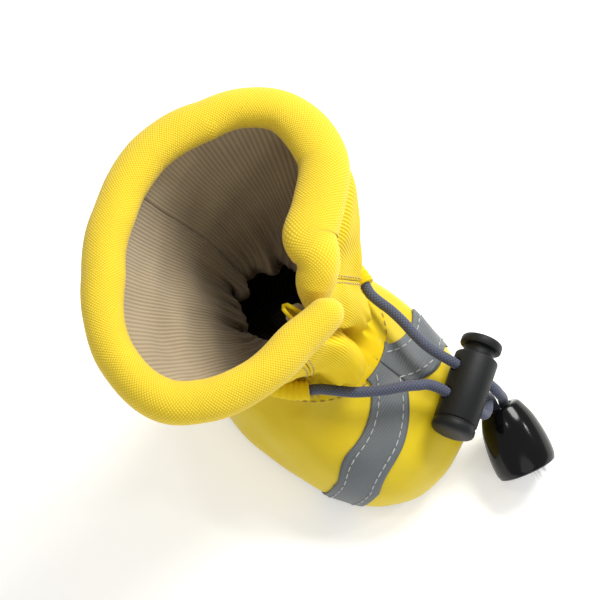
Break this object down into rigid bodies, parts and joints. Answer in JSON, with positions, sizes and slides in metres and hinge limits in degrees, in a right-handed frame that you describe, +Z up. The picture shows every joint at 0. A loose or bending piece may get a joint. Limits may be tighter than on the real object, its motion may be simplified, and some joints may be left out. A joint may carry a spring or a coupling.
{
  "type": "pet boot with drawcord cuff",
  "caption": "Small yellow waterproof pet boot with padded collar, ribbed funnel cuff, elastic drawcord, barrel cord lock and bell cord end.",
  "frame": {"origin": "middle of the outsole's flat centre bar, at ground level", "axes": "+Z up, toe towards -Y, near side (towards the viewer in the source view) -X, far side +X"},
  "size_m": [0.0819, 0.1168, 0.0979],
  "materials": {
    "coated_cloth": "smooth coated polyester, bright yellow, satin",
    "ribbed_cloth": "fine-ribbed stretch cloth, ribs from collar to ankle",
    "binding": "soft knitted mesh rolled over foam",
    "lining": "brushed ribbed fleece, beige",
    "reflective_tape": "grey reflective tape with two stitch lines",
    "rubber": "thin moulded anti-slip rubber",
    "cord": "braided round elastic cord, slate",
    "matte_black": "moulded nylon, fine matte grain",
    "gloss_black": "moulded plastic, high gloss",
    "spring_wire": "drawn spring wire"
  },
  "bodies": {
    "boot": {"outsole": "rubber", "insole": "lining", "toe_cap": "coated_cloth", "quarter_near": "coated_cloth", "quarter_far": "coated_cloth", "foot_lining_near": "lining", "foot_lining_far": "lining", "tape_near": "reflective_tape", "tape_far": "reflective_tape", "cuff_panel_near": "ribbed_cloth", "cuff_panel_far": "ribbed_cloth", "front_gusset": "ribbed_cloth", "cuff_lining_near": "lining", "cuff_lining_far": "lining", "gusset_lining": "lining", "collar_binding": "binding", "drawcord_tunnel": "coated_cloth", "drawcord_in_tunnel": "cord", "drawcord_near_upper": "cord", "drawcord_far_upper": "cord", "drawcord_near_lower": "cord", "drawcord_far_lower": "cord", "cord_knot": "cord"},
    "cord_lock": {"lock_barrel": "matte_black", "lock_spring": "spring_wire"},
    "lock_button": {"lock_plunger": "matte_black"},
    "cord_end": {"bell": "gloss_black"}
  },
  "joints": [
    {"name": "lock_slide", "type": "slide", "parent": "boot", "child": "cord_lock", "axis": [-0.2436, 0.7821, 0.5736], "range_m": [-0.004, 0.009], "deforming": ["drawcord_near_upper", "drawcord_far_upper", "drawcord_near_lower", "drawcord_far_lower"]},
    {"name": "lock_button_press", "type": "slide", "parent": "cord_lock", "child": "lock_button", "axis": [-0.9548, -0.2974, 0], "range_m": [0, 0.0022], "stiffness_N_per_m": 400, "deforming": ["lock_spring"]},
    {"name": "bell_swivel", "type": "hinge", "parent": "boot", "child": "cord_end", "pos_m": [0.02, -0.0385, 0.01365], "axis": [-0.4193, -0.841, -0.342], "continuous": true}
  ]
}
